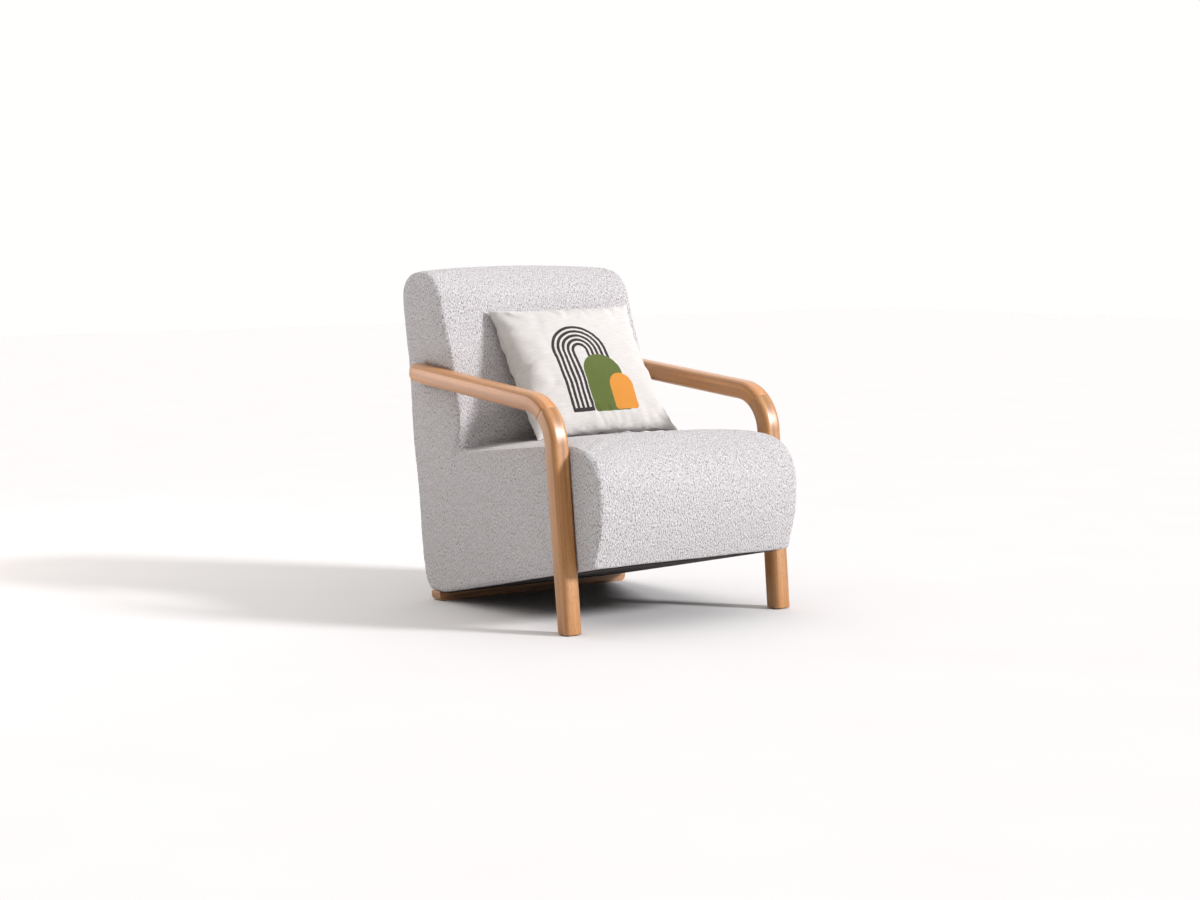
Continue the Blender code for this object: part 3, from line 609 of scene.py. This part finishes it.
def press_wood(co):
    """Hold the cloth off the arms and legs, with a soft dent where they press on it."""
    x, y, z = co[:, 0] / MM, co[:, 1] / MM + MID_DEPTH, co[:, 2] / MM
    face = LEG_X + SPLAY * z - TOE_IN * y - WOOD_WIDE / 2
    arm_z = CORNER[1] + (y - CORNER[0]) * math.tan(ARM_RISE)
    off_arm = np.hypot(np.maximum(0, y - (ARM_END - 22)), z - arm_z)
    off_leg = np.abs(y - math.tan(LEG_LEAN) * z)
    off = np.where(z > 430, off_arm, off_leg)
    allowed = face - 0.7 + 9.5 * smooth_step((off - 12) / 22)
    co[:, 0] = np.sign(x) * np.minimum(np.abs(x), allowed) * MM
    return co


def build_body(cloth):
    """The upholstery over seat and back: swollen against its sewn edges, with shallow grooves
    along them, fine lumps and broad waves, and the cloth's own run over each face."""
    bm, outline = body_block()
    body = new_piece("upholstered_body", bm, cloth)
    even = body.modifiers.new("even_mesh", "REMESH")
    even.mode, even.voxel_size = "VOXEL", 0.0075
    baked(body)
    mesh = body.data
    co = points_of(mesh)
    y, z = co[:, 1] / MM + MID_DEPTH, co[:, 2] / MM
    depth, _ = side_distance(y, z, outline)
    half = SEAT_HALF + (BACK_HALF - SEAT_HALF) * smooth_step((y - 440) / 120)
    seam = (half - np.abs(co[:, 0] / MM)) - depth
    edge = (depth < 16) & (np.abs(seam) < 5)
    bottom = z < np.maximum(belly(y), FOOT_TOP) + 10
    crease = np.hypot(y - CREASE[0], z - 362) < 12
    inflate(body, 3.0, 7.5 * MM, edge | bottom | crease, frames=16, tension_stiffness=12,
            compression_stiffness=12, bending_stiffness=0.6, mass=0.4)
    finer = body.modifiers.new("finer", "SUBSURF")
    finer.levels = finer.render_levels = 1
    baked(body)
    mesh = body.data
    co, no = points_of(mesh), normals_of(mesh)
    y, z = co[:, 1] / MM + MID_DEPTH, co[:, 2] / MM
    depth, along = side_distance(y, z, outline)
    half = SEAT_HALF + (BACK_HALF - SEAT_HALF) * smooth_step((y - 440) / 120)
    from_side = half - np.abs(co[:, 0] / MM)
    edge_seam = np.where(depth < 18, from_side - depth, 99.0)
    join = (y - (CREASE[0] + JOIN_LEAN * (CREASE[1] - z))) / math.hypot(1, JOIN_LEAN)
    join_seam = np.where((z < 366) & (from_side < 12), join, 99.0)
    groove = 1.5 * np.exp(-(edge_seam / 3.2) ** 2) + 1.8 * np.exp(-(join_seam / 3.5) ** 2)
    lumps = np.array([noise.noise(Vector(p) * 140) + 0.6 * noise.noise(Vector(p) * 60) for p in co])
    waves = np.array([noise.noise(Vector((p[0] * 9, p[1] * 9, p[2] * 5))) for p in co])
    co += no * ((0.35 * lumps + 1.3 * waves - groove) * MM)[:, None]
    co = press_wood(co)
    set_points(mesh, co)
    corner = np.zeros(len(mesh.loops), np.int32)
    mesh.loops.foreach_get("vertex_index", corner)
    face_of = np.repeat(np.arange(len(mesh.polygons)), [p.loop_total for p in mesh.polygons])
    count = np.bincount(face_of)
    side_cut = (np.bincount(face_of, (depth - from_side)[corner]) / count > 0)[face_of]
    length = np.ptp(along)
    start = (along[corner][np.cumsum(count) - count])[face_of]
    run = along[corner]
    run = run + length * ((start - run > length / 2) * 1.0 - (run - start > length / 2))
    across = np.where(side_cut, y[corner], co[corner, 0] / MM)
    vector_attribute(mesh, "cloth_run", np.stack(
        [across, np.where(side_cut, z[corner], run), side_cut * 50.0], 1) * MM, "CORNER")
    for polygon in mesh.polygons:
        polygon.use_smooth = True
    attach(body, "chair")
    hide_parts("seat_cover", "back_cover")
    return body


# ---- scatter cushion ---------------------------------------------------------------------
def build_cushion(linen, body):
    """Two flat panels sewn along a 2.4 mm seam, blown up, and set down in the chair. They are cut
    a little large, because filling draws them in."""
    cells = 64
    wide, tall = CUSHION_SIZE[0] / 0.95 * MM, CUSHION_SIZE[1] / 0.95 * MM
    bm = bmesh.new()
    bmesh.ops.create_grid(bm, x_segments=cells, y_segments=cells, size=0.5,
                          matrix=Matrix.Rotation(math.pi / 2, 4, "X"))
    made = bmesh.ops.extrude_face_region(bm, geom=bm.faces[:])["geom"]
    front = {v for v in made if isinstance(v, bmesh.types.BMVert)}
    flat, puff = [], 0.0105
    for v in bm.verts:
        u, w, side = 2 * v.co.x, 2 * v.co.z, -1 if v in front else 1
        dome = max(0.0, (1 - u * u) * (1 - w * w)) ** 0.5
        uneven = noise.noise(Vector((u * 2.9, 3.0 * side, w * 2.9))) * 0.15
        v.co = Vector((u * wide / 2, side * (0.0012 + puff * dome * (1 + uneven)), w * tall / 2))
        flat.append((u * CUSHION_SIZE[0] / 2 * MM, w * CUSHION_SIZE[1] / 2 * MM, 1.0 * (side < 0)))
    cushion = new_piece("scatter_cushion_cover", bm, linen)
    mesh = cushion.data
    vector_attribute(mesh, "panel", flat)
    group = cushion.vertex_groups.new(name="seam")
    for number, v in enumerate(mesh.vertices):
        rim = max(abs(v.co.x) / wide, abs(v.co.z) / tall) * 2
        if rim > 0.93:
            group.add([number], min(1.0, (rim - 0.93) / 0.05), "REPLACE")
    inflate(cushion, 4.0, 1.0, frames=15, tension_stiffness=40, compression_stiffness=5,
            shear_stiffness=2, bending_stiffness=0.1, vertex_group_shrink="seam",
            shrink_max=0.01)
    finer = cushion.modifiers.new("finer", "SUBSURF")
    finer.levels = finer.render_levels = 1
    baked(cushion)
    mesh = cushion.data
    co = points_of(mesh)
    size = np.array([CUSHION_SIZE[0], CUSHION_THICK + 3, CUSHION_SIZE[1]]) * MM
    co[:, 1] *= 0.86 + 0.18 * np.cos(co[:, 0] / wide * 2.9) * np.cos(co[:, 2] / tall * 2.9)
    folds = creases(2 * co[:, 0] / wide, 2 * co[:, 2] / tall) * MM
    co[:, 1] += np.where(co[:, 1] < 0, -1, 1) * folds
    co = (co - (co.max(0) + co.min(0)) / 2) * size / np.ptp(co, axis=0)
    up = 2 * co[:, 2] / (CUSHION_SIZE[1] * MM)  # thinner in front toward its bottom edge
    co[:, 1] *= np.where(co[:, 1] < 0, 1 - 0.42 * smooth_step((-up - 0.15) / 0.75), 1.0)
    co[:, 0] -= 11 * MM * (1 - up ** 2)
    turn = Matrix.Rotation(CUSHION_TURN[2], 3, "Z") @ Matrix.Rotation(CUSHION_TURN[0], 3, "X")
    turn = turn @ Matrix.Rotation(CUSHION_TURN[1], 3, "Y")
    co = co @ np.array(turn).T + np.array(at(*CUSHION_AT))
    set_points(mesh, rest_on(body, mesh, co))
    for polygon in mesh.polygons:
        polygon.use_smooth = True
    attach(cushion, "cushion")
    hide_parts("scatter_cushion")


def creases(u, w):
    """Puckers along the seam and a few soft folds, as heights in millimetres over the panel."""
    rim, along = np.maximum(np.abs(u), np.abs(w)), np.where(np.abs(u) > np.abs(w), w, u)
    ripple = np.array([noise.noise(Vector((s * 11, d * 2, 7))) for s, d in zip(along, rim)])
    lump = np.array([noise.noise(Vector((a * 5.5 + b * 2, b * 5.5 - a, 2))) for a, b in zip(u, w)])
    height = 3.4 * ripple * smooth_step((rim - 0.5) / 0.35) * (1 - smooth_step((rim - 0.9) / 0.1))
    height += 2.6 * lump * smooth_step((0.25 - u) / 0.8) * (1 - smooth_step((rim - 0.85) / 0.15))
    folds = [(-0.42, 0.93, -0.2, 0.7, 0.035, -2.4), (-0.12, -0.62, -0.03, -0.84, 0.022, -2.2),
             (0.05, -0.64, 0.12, -0.8, 0.022, -1.8), (-0.8, 0.5, -0.5, 0.42, 0.05, -2.2),
             (-0.85, 0.05, -0.45, 0.1, 0.05, -2.4), (-0.8, -0.5, -0.55, -0.3, 0.045, -2.2),
             (0.35, -0.86, 0.45, -0.66, 0.03, -1.6), (0.25, 0.9, 0.1, 0.72, 0.03, -1.6)]
    for u0, w0, u1, w1, wide, deep in folds:
        du, dw = u1 - u0, w1 - w0
        t = np.clip(((u - u0) * du + (w - w0) * dw) / (du * du + dw * dw), 0, 1)
        off = np.hypot(u - u0 - t * du, w - w0 - t * dw)
        height += deep * np.exp(-(off / wide) ** 2) * (1 - 0.5 * t)
        height -= 0.5 * deep * np.exp(-((off - 2 * wide) / (1.5 * wide)) ** 2) * (1 - 0.5 * t)
    return height


def rest_on(body, mesh, co, gap=0.8):
    """Flatten the cushion where it would sink into the upholstery, spreading the move smoothly."""
    tree = BVHTree.FromPolygons([v.co for v in body.data.vertices],
                                [p.vertices for p in body.data.polygons])
    ends = np.zeros(2 * len(mesh.edges), np.int32)
    mesh.edges.foreach_get("vertices", ends)
    a, b = ends[::2], ends[1::2]
    joined = np.bincount(ends, minlength=len(co))[:, None]
    for turn in range(6):
        push = np.zeros_like(co)
        for i, p in enumerate(co):
            near, normal, _, _ = tree.find_nearest(Vector(p), 0.06)
            if near is not None:
                sunk = gap * MM - (Vector(p) - near).dot(normal)
                if sunk > 0:
                    push[i] = np.array(normal) * sunk
        if turn < 5:
            for _ in range(6 - turn):
                total = np.zeros_like(co)
                for axis in range(3):
                    total[:, axis] = np.bincount(a, push[b, axis], len(co)) \
                        + np.bincount(b, push[a, axis], len(co))
                push = np.maximum(np.abs(push), np.abs(total / joined)) * np.sign(
                    np.where(push != 0, push, total))
        co = co + push
    return co


# ---- lining under the seat ---------------------------------------------------------------
def build_lining(cloth):
    """Black nonwoven dust cover, turned under at its edges and stapled along them, so it
    scallops a little between the staples."""
    half, y0, y1, y2 = 257.0, -54.0, 546.0, 563.0
    bm = bmesh.new()
    bmesh.ops.create_grid(bm, x_segments=52, y_segments=62, size=0.5)
    for v in bm.verts:
        u, w = v.co.x * 2, v.co.y + 0.5
        pull_x = 1.6 * math.sin(math.pi * w * 12) ** 2 * abs(u) ** 8
        pull_y = 1.6 * math.sin(math.pi * (u + 1) * 6) ** 2 * abs(2 * w - 1) ** 8
        y = y0 + pull_y + (y2 - y0 - 2 * pull_y) * w
        sag = 2.2 * (1 - u ** 4) * (1 - (2 * w - 1) ** 4)
        crinkle = 0.5 * noise.noise(Vector((u * 9, w * 7, 0))) * (1 - u ** 6)
        z = min(belly(y), belly(y1) - 0.2) if y > y1 else belly(y)
        v.co = at(u * (half - pull_x), y, z - 1.9 - sag - crinkle)
    sheet = new_piece("dust_cover_lining", bm, cloth)
    thick = sheet.modifiers.new("two_faces", "SOLIDIFY")
    thick.thickness, thick.offset = 0.6 * MM, 0
    baked(sheet)
    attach(sheet, "chair")
    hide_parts("dust_cover")


# ---- finishes for the pieces that keep their plain shape ---------------------------------
def finish_frame():
    plywood = worked("birch_plywood_sanded", (40, 3, 14), ["#A98D66", "#C2A880", "#D4BF9A"])
    pine = worked("pine_planed", (60, 3, 3), ["#A5804E", "#C0A06C", "#D2B684"])
    dowel = worked("beech_dowel_turned", (2, 2, 20), ["#A57F55", "#BE9A6E", "#CDAE84"])
    steel = worked("steel_zinc_plated", (1.5, 1.5, 6), ["#8E9196", "#A9ACB0", "#B9BCC0"],
                   (0.28, 0.42), Metallic=1.0)
    foam = worked("polyurethane_foam_open_cell", (1.2, 1.2, 1.2), ["#C9BC8F", "#DDD2A8", "#E8DFBB"],
                  (0.9, 1.0), 0.8)
    webbing = worked("webbing_polypropylene_woven", (2.5, 2.5, 1.2),
                     ["#18181A", "#252528", "#333336"], (0.6, 0.8), 0.7)
    finishes = {
        "rear_foot_board": worked("beech_oiled_foot", (90, 4, 5), ["#7C5432", "#A1744C", "#BC8F63"],
                                  (0.4, 0.55), Coat_Weight=0.3, Coat_Roughness=0.3),
        "joint_dowel": dowel, "side_frame": plywood, "corner_block": pine, "front_rail": pine,
        "seat_rear_rail": pine, "rear_bottom_rail": pine, "lumbar_rail": pine,
        "back_top_rail": pine, "back_webbing": webbing, "front_foam": foam, "seat_foam": foam,
        "back_foam": foam, "top_foam": foam, "foot_screw": steel, "arm_bolt": steel,
        "arm_washer": steel, "leg_bolt": steel, "leg_washer": steel, "spring_clip": steel,
        "rear_panel": worked("hardboard_pressed", (3, 3, 3), ["#4A321F", "#5D4129", "#6E4F34"]),
        "seat_spring": worked("spring_wire_drawn", (1, 6, 1), ["#55585C", "#6C6F73", "#808387"],
                              (0.3, 0.45), Metallic=1.0),
        "leg_glide": worked("nylon_moulded", (4, 4, 4), ["#C9C5BA", "#D9D6CC", "#E0DED6"],
                            (0.4, 0.55)),
        "insert": worked("brass_knurled", (1, 1, 4), ["#9C7C3C", "#B8964E", "#C9AA64"], (0.25, 0.4),
                         Metallic=1.0),
    }
    for obj in list(bpy.data.objects):
        for start, mat in finishes.items():
            if obj.type == "MESH" and (obj.name.startswith(start) or start in obj.name.split("_")):
                obj.data.materials.clear()
                obj.data.materials.append(mat)


build_wood(lacquered_beech("beech_steam_bent_lacquered", "#CA8F55", "#B87C43", "#8E5C2E", 1.3),
           lacquered_beech("beech_solid_lacquered", "#B9864E", "#A8743F", "#82562D", 4.1))
body = build_body(looped_boucle())
build_cushion(embroidered_linen(), body)
build_lining(worked("polypropylene_nonwoven_black", (2, 2, 2), ["#120D0A", "#1D1510", "#261C16"],
                    (0.75, 0.9), 0.5))
finish_frame()


# ---- floor and light ---------------------------------------------------------------------
def area_light(name, place, target, size, power, colour="#FFFFFF"):
    data = bpy.data.lights.new(name, "AREA")
    data.shape, data.size, data.size_y = "RECTANGLE", size[0], size[1]
    data.energy, data.color = power, linear(colour)[:3]
    lamp = bpy.data.objects.new(name, data)
    bpy.context.scene.collection.objects.link(lamp)
    lamp.location = place
    lamp.rotation_euler = (Vector(place) - Vector(target)).to_track_quat("Z", "Y").to_euler()


def build_stage():
    """White paper floor, bright surround behind and above, a soft sun in front and a strip light
    behind that draws a pale rim on the wood."""
    bm = bmesh.new()
    bmesh.ops.create_grid(bm, x_segments=1, y_segments=1, size=14)
    mat, tree, shader = new_material("pale_paper_floor", Roughness=0.95)
    place = add(tree, "TexCoord", out="Object")
    tone = add(tree, "TexNoise", {"Vector": place, "Scale": 3.0, "Detail": 3.0})
    colour = add(tree, "ValToRGB", (tone,), stops=[(0.3, "#D7D6D5"), (0.7, "#D9D8D7")])
    plug(tree, shader, {"Base Color": colour})
    floor = new_piece("studio_floor", bm, mat, smooth=False)
    world = bpy.data.worlds.new("studio")
    world.use_nodes = True
    tree = world.node_tree
    look = add(tree, "TexCoord", out="Generated")
    height = add(tree, "SeparateXYZ", (look,), "Z")
    over = add(tree, "MapRange", {"Value": height, "From Min": 0.2, "From Max": 0.75,
                                  "To Min": 0.26, "To Max": 1.12}, interpolation_type="SMOOTHSTEP")
    toward = add(tree, "VectorMath DOT_PRODUCT", (look, (0.589, 0.803, 0)), "Value")
    rear = add(tree, "MapRange", {"Value": toward, "From Min": 0.25, "From Max": 0.85,
                                  "To Min": 0.0, "To Max": 1.02}, interpolation_type="SMOOTHSTEP")
    strength = add(tree, "Math MAXIMUM", (over, rear))
    plug(tree, tree.nodes["Background"], {"Color": linear("#FFFDFC"), "Strength": strength})
    bpy.context.scene.world = world
    key = bpy.data.lights.new("key_light", "SUN")
    key.energy, key.angle, key.color = 3.8, math.radians(11), linear("#FDFBFF")[:3]
    lamp = bpy.data.objects.new("key_light", key)
    bpy.context.scene.collection.objects.link(lamp)
    lamp.rotation_euler = Vector((0.6, -0.8, 0.45)).to_track_quat("Z", "Y").to_euler()
    area_light("rim_softbox", (-1.6, 2.0, 0.75), (0, 0, 0.45), (0.45, 0.95), 11.5, "#FFF2EC")
    bpy.context.scene.view_settings.view_transform = "Standard"


build_stage()
